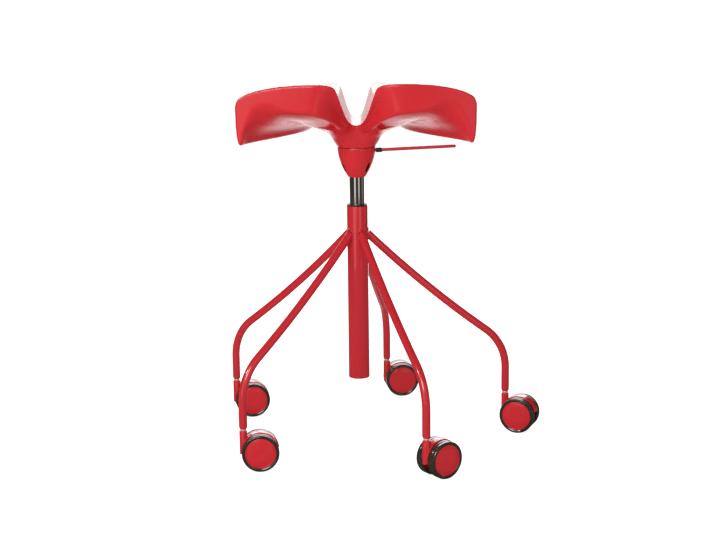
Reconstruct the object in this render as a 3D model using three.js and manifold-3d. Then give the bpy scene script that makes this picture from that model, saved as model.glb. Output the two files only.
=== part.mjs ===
// A saddle stool: a moulded two-lobed saddle on a gas-sprung column that five bent tube legs carry,
// each leg standing on a twin-wheel castor. Millimetres, +Z up, the sitter faces +Y.
import * as THREE from "three";
import { mergeVertices } from "three/addons/utils/BufferGeometryUtils.js";
import Module from "manifold-3d";

const wasm = await Module();
wasm.setup();

// Fits shared by several pieces
const fitGap = 0.3; // between faces that touch or run on each other
const castorCount = 5;
const castorCircleRadius = 284.2; // from the column's axis to each castor stem
const firstLegAngle = 6.2; // degrees from +X, then one leg every fifth of a turn

// Column: outer tube, foot plate and guide bush
const columnRadius = 20;
const columnWall = 2;
const columnTop = 449.2;
const columnBottom = 117;
const footPlateRecess = 8;
const footPlateThickness = 4;
const bushLength = 78;
const bushFlangeThickness = 2.2;
const bushFlangeRadius = 19.4;

// Gas spring: cylinder, rod, piston, gland and thrust bearing
const cylinderRadius = 14;
const cylinderWall = 1.8;
const cylinderBottom = 200;
const cylinderTaperLength = 35;
const cylinderTaperDrop = 0.8; // how much the cone narrows the radius
const cylinderTop = 543;
const chamberEnd = 43; // solid length above the gas chamber
const rodRadius = 5;
const rodSpigotRadius = 4;
const pistonLength = 12;
const heightRiseRoom = 147; // from the gland up to the piston at rest
const glandLength = 15;
const bearingRadius = 14;
const bearingHeight = 7.4;
const bearingWaist = 1.2; // how far the ball row lies inside the races
const raceShare = 1 / 3; // of the bearing's height, for each race
const bumperRadius = 11;
const bumperLength = 10;
const clipRadius = 8;
const clipThickness = 1.6;
const rodTail = 5; // rod end below the foot plate
const releasePinRadius = 3;
const releasePinStandOut = 4.7;
const releasePinDepth = 15;
const releasePinRoom = 3; // free depth under the pin

// Seat mechanism: top plate with ears, taper socket, screws, lever
const plateThickness = 3;
const socketWall = 3.2;
const socketLength = 33; // around the cylinder's cone
const leverWindow = 18; // width of the socket's window for the lever
const leverWindowSill = 2.5; // above the cylinder's end
const earInner = 4.6; // half the space between the ears
const earThickness = 3;
const earHeight = 10;
const earReach = 5.5; // to each side of the pivot
const pivotX = 18;
const pivotRadius = 2;
const pivotDrop = 8; // from the saddle's hub face down to the pivot
const leverRadius = 3;
const leverTipX = 185;
const leverTail = 3; // past the release pin's axis
const leverSlope = 2.27; // degrees, rising outwards
const leverBossRadius = 4.1;
const leverNoseShares = [[1, 1], [0.87, 0.5], [0.5, 0.13], [0, 0]]; // of its radius: out, back
const sleeveWall = 1;
const sleeveLength = 11;
const screwCircleRadius = 26.5;
const screwCount = 4;
const screwAngle = 45; // degrees from +X
const screwRadius = 3;
const screwHeadRadius = 4.5;
const screwHeadHeight = 3;
const screwGrip = 14; // length in the saddle's hub

// Bell cover under the saddle
const bellTopRadius = 35.5;
const bellWall = 2;
const bellHeight = 55.5;
const bellRoundness = 1.9; // exponent of the outline
const bellRings = 6;
const bellSlotCount = 3;
const bellSlotAngle = -40; // degrees from +X
const bellSlotWidth = 5;
const bellSlotLength = 20;
const bellSlotHeight = 15; // its middle above the bell's mouth
const bellSlotEndSteps = 3;
const leverSlotWidth = 9;
const leverSlotDepth = 11;

// Saddle: its heights are measured from the hub's face
const hubFace = 560; // flat underside of the hub above the floor
const hubRadius = 35.7;
const saddleLength = 280;
const saddleEdgeRound = 2.5;
const rearHalfWidth = 211.3;
const frontHalfWidth = 98;
const rearCrown = 127.6;
const middleCrown = 101;
const frontCrown = 108.4;
const rearEdgeDrop = 36.6; // from the crown to the widest point
const frontEdgeDrop = 43;
const rearChannelHalfWidth = 41;
const frontChannelHalfWidth = 34;
const rearChannelFloor = 54;
const frontChannelFloor = 40;
const rearFlapEdge = 25;
const frontFlapEdge = 20;
const flapTuck = 7;
const flapThickness = 11;
const rearArch = 79.5; // underside of the lobes at the rear edge
const middleArch = 47;
const rearArchRun = 42;
const frontArchRun = 22;
const rearSpine = 40; // underside below the channel
const frontSpine = 27;
const flareRadius = 60.3;
const flareRise = 31.6;
const flareSink = 1; // how far the loft laps over the flare's rim
const shelfRadius = 150; // where the flare has run out into the lobes
const shelfRise = 14; // of its gentle part
const shelfUpturn = 40; // of its last, steep part
const upturnPower = 4;
const narrowingPower = 0.85; // below 1, the saddle narrows sooner behind the middle
const archPower = 5; // how quickly the rear arch falls to the middle one
const hubLapShare = 0.2; // of the flare's rise, that the hub reaches into the loft

// Legs
const legRadius = 7.5;
const legWall = 1.6;
const kneeRadius = 95;
const kneeTurn = 53.5; // degrees
const kneeBase = 124; // height at which the leg starts to bend
const sweepRadius = 2000;
const legLipHeight = 4;
const legLipRadius = 5.9; // at its drawn-in lower end
const legLipShare = 0.4; // of the lip's height, up to its shoulder
const legShoulderShare = 0.75; // of the way from the lip's radius to the leg's
const legLapShare = 0.25; // of the wall, between the tube and its end
const legFootShare = 0.1; // of the centreline's parameter, for the straight foot
const legKneeShare = 0.5; // and for the knee

// Castors
const wheelRadius = 34;
const wheelWidth = 16.2;
const castorTrail = 29.5; // from the stem's axis to the axle
const castorHeadings = [-22.6, 37, 6, 12, 8]; // degrees from +X, from stem to axle, leg by leg
const housingTop = 72.4;
const housingWidth = 15;
const neckRadius = 7.2;
const neckBottom = 30;
const hoodProud = 1.3; // past the tyre
const hoodThickness = 3.5;
const hoodStart = 12; // degrees above the axle on the trailing side
const hoodEnd = 172;
const webThickness = 6;
const axleBossRadius = 8;
const wheelSideGap = 0.8;
const stemRadius = 4;
const stemDepth = 28; // in the housing
const stemReach = 30; // in the leg
const collarRadius = 5.5;
const collarHeight = 3;
const axleRadius = 4;
const axleInWheel = 12.5;
const hubDiscRadius = 28;
const hubDiscInset = 1; // from the tyre's side
const hubDiscThickness = 9;
const hubCoreRadius = 11;
const tyreShoulder = 2.6;
const tyreBeadInset = 1.4;

// Mesh fineness
const fineSides = 24;
const sides = 20;
const coarseSides = 12;
const boreSides = 8;
const legSteps = 10;
const hoodSteps = 12;

// Overrun of every cutting tool past the face it opens
const overrun = 3;

const paintedRed = { color: 0xd0282e, roughness: 0.38, metalness: 0.1 };
const mouldedRed = { color: 0xd9262c, roughness: 0.32, metalness: 0 };
const blackPlastic = { color: 0x17181a, roughness: 0.5, metalness: 0 };
const tyreBlack = { color: 0x24261f, roughness: 0.62, metalness: 0 };
const chromePlate = { color: 0xc9c3b8, roughness: 0.12, metalness: 1 };
const brightZinc = { color: 0xcfc9bd, roughness: 0.3, metalness: 0.9 };
const plainSteel = { color: 0x8d9094, roughness: 0.42, metalness: 0.85 };

const radians = THREE.MathUtils.degToRad;
const mix = THREE.MathUtils.lerp;

// Corner radius of a polygon whose flats lie at the given radius
const aroundFlats = (radius, count) => radius / Math.cos(Math.PI / count);

function named(name, geometry, look) {
  const mesh = new THREE.Mesh(geometry, new THREE.MeshStandardMaterial(look));
  mesh.name = name;
  return mesh;
}

// A turned body about +Z from [radius, height] points, with flats facing the X and Y axes
function turned(profile, count) {
  const points = profile.map(([radius, height]) => new THREE.Vector2(radius, height));
  const body = new THREE.LatheGeometry(points, count, Math.PI / count);
  return body.rotateX(Math.PI / 2);
}

// A turned ring: the profile closes on itself
function turnedRing(profile, count) {
  return turned([...profile, profile[0]], count);
}

function plainRing(inner, outer, low, high, count) {
  const bore = aroundFlats(inner, count);
  return turnedRing([[bore, low], [outer, low], [outer, high], [bore, high]], count);
}

function plainRod(radius, low, high, count) {
  return turned([[0, low], [radius, low], [radius, high], [0, high]], count);
}

function box(low, high) {
  const size = low.map((value, axis) => high[axis] - value);
  const middle = low.map((value, axis) => (high[axis] + value) / 2);
  return new THREE.BoxGeometry(...size).translate(...middle);
}

// A plate whose outline lies in X and Z and whose thickness is centred on Y
function uprightPlate(outline, thickness) {
  const shape = new THREE.Shape(outline.map(([x, z]) => new THREE.Vector2(x, z)));
  const plate = new THREE.ExtrudeGeometry(shape, { depth: thickness, bevelEnabled: false });
  return plate.rotateX(Math.PI / 2).translate(0, thickness / 2, 0);
}

// Position-only geometry with shared corners and no collapsed triangles
function welded(geometry) {
  const loose = geometry.index ? geometry.toNonIndexed() : geometry.clone();
  const bare = new THREE.BufferGeometry().setAttribute("position", loose.attributes.position);
  const merged = mergeVertices(bare);
  const kept = [];
  for (let i = 0; i < merged.index.count; i += 3) {
    const [a, b, c] = [0, 1, 2].map((k) => merged.index.getX(i + k));
    if (a !== b && b !== c && c !== a) {
      kept.push(a, b, c);
    }
  }
  return merged.setIndex(kept);
}

function toSolid(geometry) {
  const clean = welded(geometry);
  const mesh = new wasm.Mesh({
    numProp: 3,
    vertProperties: clean.attributes.position.array,
    triVerts: new Uint32Array(clean.index.array),
  });
  return new wasm.Manifold(mesh);
}

function toGeometry(solid) {
  const mesh = solid.getMesh();
  const geometry = new THREE.BufferGeometry();
  geometry.setAttribute("position", new THREE.BufferAttribute(mesh.vertProperties, 3));
  geometry.setIndex(new THREE.BufferAttribute(mesh.triVerts, 1));
  const flat = geometry.toNonIndexed();
  flat.computeVertexNormals();
  return flat;
}

function cut(body, tools) {
  return toGeometry(tools.reduce((solid, tool) => solid.subtract(toSolid(tool)), toSolid(body)));
}

function joined(pieces) {
  const [first, ...rest] = pieces.map(toSolid);
  return toGeometry(rest.reduce((solid, piece) => solid.add(piece), first));
}

function aroundCircle(count, radius, startDegrees) {
  return Array.from({ length: count }, (_, k) => {
    const angle = radians(startDegrees) + (k * 2 * Math.PI) / count;
    return [radius * Math.cos(angle), radius * Math.sin(angle)];
  });
}

// Column

const columnBore = columnRadius - columnWall;
const footPlateBottom = columnBottom + footPlateRecess;
const footPlateTop = footPlateBottom + footPlateThickness;
const chamberRadius = cylinderRadius - cylinderWall;
const glandTop = cylinderBottom + fitGap + glandLength;
const pistonBottom = glandTop + heightRiseRoom;
const bearingBottom = footPlateTop + fitGap;
const rodShoulder = bearingBottom + bearingHeight + fitGap;

function columnTube() {
  return plainRing(columnBore, columnRadius, columnBottom, columnTop, fineSides);
}

function footPlate() {
  const hole = rodSpigotRadius + fitGap;
  return plainRing(hole, columnBore - fitGap, footPlateBottom, footPlateTop, sides);
}

function guideBush() {
  const bore = aroundFlats(cylinderRadius + fitGap, fineSides);
  const sleeve = columnBore - fitGap;
  const seat = columnTop + fitGap;
  const bottom = columnTop - bushLength;
  const top = seat + bushFlangeThickness;
  return turnedRing([
    [bore, bottom], [sleeve, bottom], [sleeve, seat],
    [bushFlangeRadius, seat], [bushFlangeRadius, top], [bore, top],
  ], fineSides);
}

// A thrust bearing on the foot plate: two races with the ball row drawn in between them
function thrustBearing() {
  const hole = aroundFlats(rodSpigotRadius + fitGap, coarseSides);
  const waist = bearingRadius - bearingWaist;
  const top = bearingBottom + bearingHeight;
  const race = bearingHeight * raceShare;
  return turnedRing([
    [hole, bearingBottom], [bearingRadius, bearingBottom], [bearingRadius, bearingBottom + race],
    [waist, bearingBottom + race], [waist, top - race], [bearingRadius, top - race],
    [bearingRadius, top], [hole, top],
  ], coarseSides);
}

// Gas spring

// The rod with its piston crimped on the upper end and a spigot for the clip at the lower end
function pistonRod() {
  const tail = footPlateBottom - rodTail;
  const pistonTop = pistonBottom + pistonLength;
  const pistonRadius = chamberRadius - fitGap;
  return turned([
    [0, tail], [rodSpigotRadius, tail], [rodSpigotRadius, rodShoulder], [rodRadius, rodShoulder],
    [rodRadius, pistonBottom], [pistonRadius, pistonBottom], [pistonRadius, pistonTop],
    [0, pistonTop],
  ], coarseSides);
}

function gasCylinder() {
  const chamber = aroundFlats(chamberRadius, fineSides);
  const chamberTop = cylinderTop - chamberEnd;
  const pinBore = aroundFlats(releasePinRadius + fitGap, fineSides);
  const pinBoreFloor = cylinderTop - releasePinDepth - releasePinRoom;
  return turned([
    [0, chamberTop], [chamber, chamberTop], [chamber, cylinderBottom],
    [cylinderRadius, cylinderBottom], [cylinderRadius, cylinderTop - cylinderTaperLength],
    [cylinderRadius - cylinderTaperDrop, cylinderTop], [pinBore, cylinderTop],
    [pinBore, pinBoreFloor], [0, pinBoreFloor],
  ], fineSides);
}

function rodGland() {
  const low = cylinderBottom + fitGap;
  return plainRing(rodRadius + fitGap, chamberRadius - fitGap, low, glandTop, coarseSides);
}

// Mechanism

const plateTop = hubFace - fitGap;
const plateBottom = plateTop - plateThickness;
const plateRadius = bellTopRadius - bellWall - fitGap;
const pivotHeight = hubFace - pivotDrop;
const boltCircle = aroundCircle(screwCount, screwCircleRadius, screwAngle);

// A rod along Y through the lever's pivot
function pivotRod(radius, halfLength) {
  const rod = plainRod(radius, -halfLength, halfLength, coarseSides);
  return rod.rotateX(Math.PI / 2).translate(pivotX, 0, pivotHeight);
}

// The conical socket that the cylinder wedges into, windowed above it for the lever
function taperSocket() {
  const bottom = cylinderTop - socketLength;
  const top = plateBottom + plateThickness / 2;
  const slope = cylinderTaperDrop / cylinderTaperLength;
  const wide = cylinderRadius + fitGap - slope * (cylinderTaperLength - socketLength);
  const narrow = cylinderRadius - cylinderTaperDrop + fitGap;
  const outer = cylinderRadius + socketWall;
  const body = turnedRing([
    [aroundFlats(wide, fineSides), bottom], [outer, bottom], [outer, top],
    [aroundFlats(narrow, fineSides), top], [aroundFlats(narrow, fineSides), cylinderTop],
  ], fineSides);
  const window = box(
    [-outer - overrun, -leverWindow / 2, cylinderTop + leverWindowSill],
    [outer + overrun, leverWindow / 2, top + overrun],
  );
  return cut(body, [window]);
}

// Top plate, lever ears and taper socket, welded into one
function seatMechanism() {
  const earOuter = earInner + earThickness;
  const ears = [earInner, -earOuter].map((side) => box(
    [pivotX - earReach, side, plateBottom - earHeight],
    [pivotX + earReach, side + earThickness, plateBottom + plateThickness / 2],
  ));
  const disc = plainRod(plateRadius, plateBottom, plateTop, fineSides);
  const hole = aroundFlats(screwRadius + fitGap, coarseSides);
  const screwHoles = boltCircle.map(([x, y]) =>
    plainRod(hole, plateBottom - overrun, plateTop + overrun, coarseSides).translate(x, y, 0));
  const pivotHole = pivotRod(aroundFlats(pivotRadius + fitGap, coarseSides), earOuter + overrun);
  return cut(joined([disc, taperSocket(), ...ears]), [...screwHoles, pivotHole]);
}

function plateScrew() {
  const headTop = plateBottom - fitGap;
  return turned([
    [0, headTop - screwHeadHeight], [screwHeadRadius, headTop - screwHeadHeight],
    [screwHeadRadius, headTop], [screwRadius, headTop],
    [screwRadius, hubFace + screwGrip], [0, hubFace + screwGrip],
  ], coarseSides);
}

const leverTilt = Math.tan(radians(leverSlope));
const leverHeightAt = (x) => pivotHeight + (x - pivotX) * leverTilt;

// Lays a turned body, made along +Z from the pivot, along the lever
function alongLever(geometry) {
  const lean = Math.PI / 2 - radians(leverSlope);
  return geometry.rotateY(lean).translate(pivotX, 0, pivotHeight);
}

function leverRod() {
  const stretch = 1 / Math.cos(radians(leverSlope));
  const tip = (leverTipX - pivotX) * stretch;
  const tail = (pivotX + leverTail) * stretch;
  const nose = leverNoseShares.map(([out, back]) =>
    [leverRadius * out, tip - leverRadius * back]);
  const rod = alongLever(turned([[0, -tail], [leverRadius, -tail], ...nose], coarseSides));
  const boss = pivotRod(leverBossRadius, earInner - fitGap);
  const bore = pivotRod(aroundFlats(pivotRadius + fitGap, coarseSides), earInner + overrun);
  return cut(joined([rod, boss]), [bore]);
}

function leverSleeve() {
  const start = bellTopRadius + fitGap * 2 - pivotX;
  const bore = leverRadius + fitGap;
  return alongLever(plainRing(bore, bore + sleeveWall, start, start + sleeveLength, coarseSides));
}

// Bell cover

const bellTop = hubFace - fitGap * 2;
const bellMouth = bellTop - bellHeight;
const bellMouthRadius = cylinderRadius + fitGap;

function bellCover() {
  const rings = Array.from({ length: bellRings + 1 }, (_, k) => k / bellRings);
  const radiusAt = (share) =>
    bellTopRadius - (bellTopRadius - bellMouthRadius - bellWall) * share ** bellRoundness;
  const outer = rings.map((share) => [radiusAt(share), bellTop - bellHeight * share]).reverse();
  const inner = rings.slice(0, -1).map((share) =>
    [aroundFlats(radiusAt(share) - bellWall, fineSides), bellTop - bellHeight * share]);
  const lip = [aroundFlats(bellMouthRadius, fineSides), bellMouth + bellWall];
  const mouth = [aroundFlats(bellMouthRadius, fineSides), bellMouth];
  const shell = turnedRing([mouth, ...outer, ...inner, lip], fineSides);
  const leverSlot = box(
    [bellMouthRadius + bellWall, -leverSlotWidth / 2, bellTop - leverSlotDepth],
    [bellTopRadius + overrun, leverSlotWidth / 2, bellTop + overrun],
  );
  const halfWidth = bellSlotWidth / 2;
  const middle = bellMouth + bellSlotHeight;
  const straight = bellSlotLength / 2 - halfWidth;
  const slots = Array.from({ length: bellSlotCount }, (_, k) => {
    const outline = new THREE.Shape();
    outline.absarc(0, straight, halfWidth, 0, Math.PI, false);
    outline.absarc(0, -straight, halfWidth, Math.PI, 2 * Math.PI, false);
    const depth = bellTopRadius + overrun - cylinderRadius;
    const options = { depth, bevelEnabled: false, curveSegments: bellSlotEndSteps };
    const slot = new THREE.ExtrudeGeometry(outline, options).translate(0, 0, cylinderRadius);
    slot.rotateX(Math.PI / 2).rotateZ(Math.PI / 2);
    return slot.rotateZ(radians(bellSlotAngle) + (k * 2 * Math.PI) / bellSlotCount)
      .translate(0, 0, middle);
  });
  return cut(shell, [leverSlot, ...slots]);
}

// Saddle

// Outline shares of one half section, from the channel's floor over the lobe to the underside
const channelShares = [
  [0, 0], [0.22, 0.04], [0.42, 0.2], [0.6, 0.48], [0.8, 0.8], [0.92, 0.94], [1.12, 0.99],
];
const topShares = [
  [0.235, 0], [0.42, 0.03], [0.6, 0.11], [0.79, 0.29], [0.91, 0.5], [0.975, 0.71], [1, 1],
];
const sideShares = [[0, 0.3], [0.08, 0.6], [0.4, 0.88], [1, 1]];
const archShares = [[0, 0], [0.25, 0.35], [0.55, 0.75], [1, 1]];
const spineShares = [[0.7, 0.08], [0.45, 0.2], [0.28, 0.33], [0.18, 0.7], [0, 1]];
const stationShares = [0, 0.01, 0.06, 0.14, 0.25, 0.38, 0.5, 0.62, 0.74, 0.86, 0.95, 1];
const flareShares = [[0, 0], [0.11, 0.16], [0.28, 0.36], [0.54, 0.68], [0.74, 0.85], [1, 1]];

const flareProfile = flareShares.map(([out, up]) =>
  [mix(hubRadius, flareRadius, out), hubFace + flareRise * up]);

// Underside of the trumpet-like flare at a distance from the hub's axis
function flareHeight(distance) {
  const share = Math.max(0, distance - flareRadius) / (shelfRadius - flareRadius);
  const rise = shelfRise * Math.sqrt(share) + shelfUpturn * share ** upturnPower;
  return hubFace + flareRise - flareSink + rise;
}

function saddleSection(along) {
  const y = (along - 0.5) * saddleLength;
  const narrowing = THREE.MathUtils.smoothstep(along ** narrowingPower, 0, 1);
  const halfWidth = mix(rearHalfWidth, frontHalfWidth, narrowing);
  const sag = (rearCrown + frontCrown) / 2 - middleCrown;
  const dip = hubFace + mix(rearCrown, frontCrown, along) - sag * (1 - (2 * along - 1) ** 2);
  const channel = mix(rearChannelHalfWidth, frontChannelHalfWidth, along);
  const floor = hubFace + mix(rearChannelFloor, frontChannelFloor, along);
  const edge = dip - mix(rearEdgeDrop, frontEdgeDrop, along);
  const flap = hubFace + mix(rearFlapEdge, frontFlapEdge, along);
  const arch = hubFace + middleArch + (rearArch - middleArch) * (1 - along) ** archPower;
  const spine = hubFace + mix(rearSpine, frontSpine, along);
  const flapInside = halfWidth - flapTuck - flapThickness;
  const archX = flapInside - mix(rearArchRun, frontArchRun, along);
  const under = [
    ...archShares.map(([x, z]) => [mix(flapInside, archX, x), mix(flap, arch, z)]),
    ...spineShares.map(([x, z]) => [archX * x, mix(arch, spine, z)]),
  ];
  return [
    ...channelShares.map(([x, z]) => [channel * x, mix(floor, dip, z)]),
    ...topShares.map(([x, z]) => [mix(channel, halfWidth, x), mix(dip, edge, z)]),
    ...sideShares.map(([x, z]) => [halfWidth - flapTuck * x, mix(edge, flap, z)]),
    ...under.map(([x, z], k) => [x, k === 0 ? z : Math.min(z, flareHeight(Math.hypot(x, y)))]),
  ];
}

// Both halves of a section as one closed outline, drawn in at the saddle's two ends
function saddleOutline(along) {
  const half = saddleSection(along);
  const whole = [...half, ...half.slice(1, -1).reverse().map(([x, z]) => [-x, z])];
  const atEnd = along === stationShares[0] || along === stationShares.at(-1);
  if (!atEnd) {
    return whole;
  }
  const heights = whole.map(([, z]) => z);
  const [low, high] = [Math.min(...heights), Math.max(...heights)];
  const middle = (low + high) / 2;
  const halfHeight = (high - low) / 2;
  const halfWidth = Math.max(...whole.map(([x]) => x));
  return whole.map(([x, z]) => [
    x * (1 - saddleEdgeRound / halfWidth),
    middle + (z - middle) * (1 - saddleEdgeRound / halfHeight),
  ]);
}

function saddleLoft() {
  const outlines = stationShares.map(saddleOutline);
  const count = outlines[0].length;
  const corners = outlines.flatMap((outline, k) =>
    outline.flatMap(([x, z]) => [x, (stationShares[k] - 0.5) * saddleLength, z]));
  const faces = [];
  for (let k = 0; k + 1 < outlines.length; k += 1) {
    for (let i = 0; i < count; i += 1) {
      const j = (i + 1) % count;
      const [a, b] = [k * count + i, k * count + j];
      const [c, d] = [a + count, b + count];
      faces.push(a, b, d, a, d, c);
    }
  }
  [0, outlines.length - 1].forEach((k) => {
    const contour = outlines[k].map(([x, z]) => new THREE.Vector2(x, z));
    THREE.ShapeUtils.triangulateShape(contour, []).forEach(([a, b, c]) => {
      const turn = k === 0 ? [a, b, c] : [a, c, b];
      faces.push(...turn.map((corner) => corner + k * count));
    });
  });
  const geometry = new THREE.BufferGeometry();
  geometry.setAttribute("position", new THREE.Float32BufferAttribute(corners, 3));
  geometry.setIndex(faces);
  return geometry;
}

function saddleBody() {
  const hubTop = flareProfile.at(-1)[1] + flareRise * hubLapShare;
  const hub = turned([
    [0, hubFace], ...flareProfile, [flareRadius, hubTop], [0, hubTop],
  ], fineSides);
  const hole = aroundFlats(screwRadius + fitGap, coarseSides);
  const screwHoles = boltCircle.map(([x, y]) =>
    plainRod(hole, hubFace - overrun, hubFace + screwGrip + fitGap, coarseSides)
      .translate(x, y, 0));
  return cut(joined([saddleLoft(), hub]), screwHoles);
}

// Legs

const collarBottom = housingTop + fitGap;
const collarTop = collarBottom + collarHeight;
const legFoot = collarTop + fitGap;
const legEnd = legFoot + legLipHeight;
const legBore = legRadius - legWall;

// Centreline of a leg in its own upright plane, X outwards: straight, knee, then a long sweep
class LegLine extends THREE.Curve {
  constructor() {
    super();
    const turn = radians(kneeTurn);
    this.kneeCentre = castorCircleRadius - kneeRadius;
    const kneeEnd = [
      this.kneeCentre + kneeRadius * Math.cos(turn),
      kneeBase + kneeRadius * Math.sin(turn),
    ];
    this.sweepCentre = [
      kneeEnd[0] + sweepRadius * Math.cos(turn),
      kneeEnd[1] + sweepRadius * Math.sin(turn),
    ];
    this.sweepStart = turn + Math.PI;
    const reach = (columnBore - this.sweepCentre[0]) / sweepRadius;
    this.sweepEnd = 2 * Math.PI - Math.acos(reach);
  }

  getPoint(t) {
    if (t < legFootShare) {
      return new THREE.Vector3(castorCircleRadius, 0, mix(legEnd, kneeBase, t / legFootShare));
    }
    if (t < legFootShare + legKneeShare) {
      const angle = (radians(kneeTurn) * (t - legFootShare)) / legKneeShare;
      const x = this.kneeCentre + kneeRadius * Math.cos(angle);
      return new THREE.Vector3(x, 0, kneeBase + kneeRadius * Math.sin(angle));
    }
    const share = (t - legFootShare - legKneeShare) / (1 - legFootShare - legKneeShare);
    const angle = mix(this.sweepStart, this.sweepEnd, share);
    const x = this.sweepCentre[0] + sweepRadius * Math.cos(angle);
    return new THREE.Vector3(x, 0, this.sweepCentre[1] + sweepRadius * Math.sin(angle));
  }

  // Steps follow the parameter, so the knee is finer than the straight runs
  getUtoTmapping(u) {
    return u;
  }
}

// The drawn-in lower end of a leg with the bush for the castor's stem, at the stem's own axis
function legFootBush() {
  const bore = aroundFlats(stemRadius + fitGap, coarseSides);
  const inWall = legBore + legWall / 2;
  const lap = legWall * legLapShare;
  const top = collarTop + stemReach;
  const shoulderRadius = mix(legLipRadius, legRadius, legShoulderShare);
  return turnedRing([
    [bore, legFoot], [legLipRadius, legFoot], [shoulderRadius, legFoot + legLipHeight * legLipShare],
    [legRadius - lap, legEnd + lap], [inWall, legEnd + lap], [inWall, top], [bore, top],
  ], coarseSides);
}

function legTube() {
  const ring = (radius, count) =>
    aroundCircle(count, radius, 0).map(([x, y]) => new THREE.Vector2(x, y));
  const section = new THREE.Shape(ring(legRadius, coarseSides));
  section.holes.push(new THREE.Path(ring(aroundFlats(legBore, boreSides), boreSides)));
  const tube = new THREE.ExtrudeGeometry(section, {
    steps: legSteps, extrudePath: new LegLine(), bevelEnabled: false,
  });
  const coping = plainRod(
    aroundFlats(columnRadius + fitGap, fineSides), columnBottom, columnTop, fineSides);
  const foot = legFootBush().translate(castorCircleRadius, 0, 0);
  return cut(joined([tube, foot]), [coping]);
}

// Castors: each is built at its stem with the axle towards +X, then turned to its heading

function castorStem() {
  const bottom = housingTop - stemDepth;
  const top = collarTop + stemReach - fitGap;
  return turned([
    [0, bottom], [stemRadius, bottom], [stemRadius, collarBottom], [collarRadius, collarBottom],
    [collarRadius, collarTop], [stemRadius, collarTop], [stemRadius, top], [0, top],
  ], coarseSides);
}

// A rod across the castor through the axle's place
function axleRod(radius, halfLength, count) {
  const rod = plainRod(radius, -halfLength, halfLength, count);
  return rod.rotateX(Math.PI / 2).translate(castorTrail, 0, wheelRadius);
}

function castorHousing() {
  const hoodRadius = wheelRadius + hoodProud;
  const innerRadius = hoodRadius - hoodThickness;
  const arc = (radius, from, to) => Array.from({ length: hoodSteps + 1 }, (_, k) => {
    const angle = radians(mix(from, to, k / hoodSteps));
    return [castorTrail + radius * Math.cos(angle), wheelRadius + radius * Math.sin(angle)];
  });
  const rim = uprightPlate(
    [...arc(hoodRadius, hoodStart, hoodEnd), ...arc(innerRadius, hoodEnd, hoodStart)],
    housingWidth,
  );
  const web = uprightPlate([
    ...arc(innerRadius + fitGap, hoodStart, hoodEnd),
    [neckRadius / 2, neckBottom + fitGap],
    [castorTrail, wheelRadius - axleBossRadius + fitGap],
    [castorTrail + axleBossRadius, wheelRadius - axleBossRadius / 2],
  ], webThickness);
  const neck = plainRod(neckRadius, neckBottom, housingTop, coarseSides);
  const boss = axleRod(axleBossRadius, housingWidth / 2, coarseSides);
  const stemHole = plainRod(
    aroundFlats(stemRadius + fitGap, coarseSides),
    housingTop - stemDepth - fitGap, housingTop + overrun, coarseSides);
  const axleHole = axleRod(
    aroundFlats(axleRadius + fitGap, coarseSides), housingWidth / 2 + overrun, coarseSides);
  return cut(joined([neck, rim, web, boss]), [stemHole, axleHole]);
}

// Wheel profiles run from the wheel's inner side at height 0 to its outer side

function wheelDisc() {
  const bore = aroundFlats(axleRadius + fitGap, sides);
  const boreFloor = axleInWheel + fitGap;
  const face = wheelWidth - hubDiscInset;
  const back = face - hubDiscThickness;
  return turned([
    [0, boreFloor], [bore, boreFloor], [bore, 0], [hubCoreRadius, 0], [hubCoreRadius, back],
    [hubDiscRadius, back], [hubDiscRadius, face], [0, face],
  ], sides);
}

function tyre() {
  const bead = aroundFlats(hubDiscRadius + fitGap, sides);
  const tread = aroundFlats(wheelRadius, sides);
  const side = aroundFlats(wheelRadius - tyreShoulder, sides);
  return turnedRing([
    [bead, tyreBeadInset], [side, 0], [tread, tyreShoulder], [tread, wheelWidth - tyreShoulder],
    [side, wheelWidth], [bead, wheelWidth - tyreBeadInset],
  ], sides);
}

function castor(number, heading) {
  const group = new THREE.Group();
  const axleHalfLength = housingWidth / 2 + wheelSideGap + axleInWheel;
  group.add(
    named(`castor_${number}_housing`, castorHousing(), mouldedRed),
    named(`castor_${number}_axle`, axleRod(axleRadius, axleHalfLength, coarseSides), plainSteel),
  );
  [["left", 1], ["right", -1]].forEach(([side, sign]) => {
    const wheel = new THREE.Group();
    wheel.rotation.x = (-sign * Math.PI) / 2;
    wheel.position.set(castorTrail, sign * (housingWidth / 2 + wheelSideGap), wheelRadius);
    wheel.add(
      named(`castor_${number}_${side}_wheel`, wheelDisc(), mouldedRed),
      named(`castor_${number}_${side}_tyre`, tyre(), tyreBlack),
    );
    group.add(wheel);
  });
  group.rotation.z = radians(heading);
  return group;
}

// Assembly, with the column's axis on Z and the floor at zero

const stool = new THREE.Group();

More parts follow.
